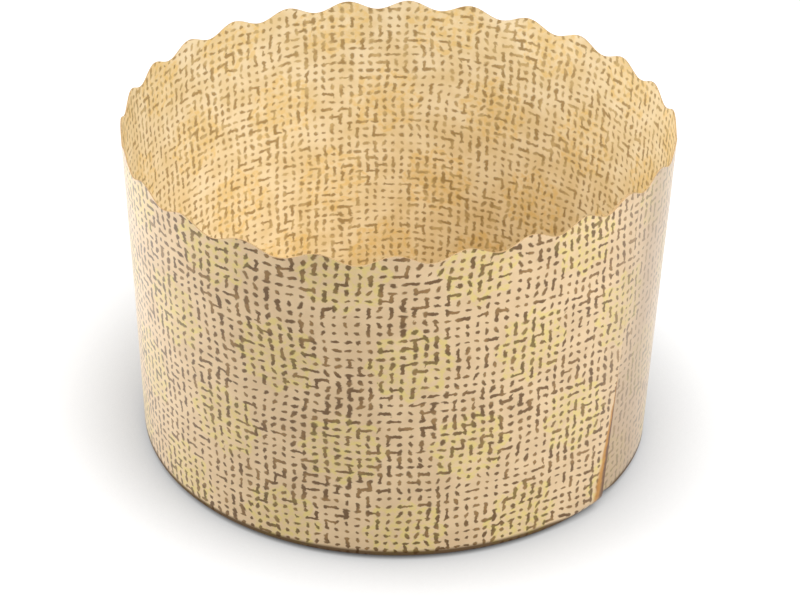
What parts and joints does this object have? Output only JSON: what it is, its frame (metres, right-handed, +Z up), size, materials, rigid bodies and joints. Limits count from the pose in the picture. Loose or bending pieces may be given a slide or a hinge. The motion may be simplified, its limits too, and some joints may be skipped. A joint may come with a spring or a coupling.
{
  "type": "panettone paper mold",
  "caption": "Round free-standing baking mold of printed greaseproof paper with a scalloped rim, a glued side lap and a folded-in hem under a glued base disc.",
  "frame": {"origin": "on the ground, under the middle of the rim's outline seen from above", "axes": "+Z up through the open top; -Y towards the front; the glued lap stands at the front right"},
  "size_m": [0.1741, 0.1815, 0.11],
  "materials": {
    "printed_paper": "greaseproof paper with a brown burlap weave print",
    "plain_paper": "greaseproof paper"
  },
  "bodies": {
    "root": {"side_wall": "printed_paper", "base_disc": "plain_paper"}
  },
  "joints": []
}
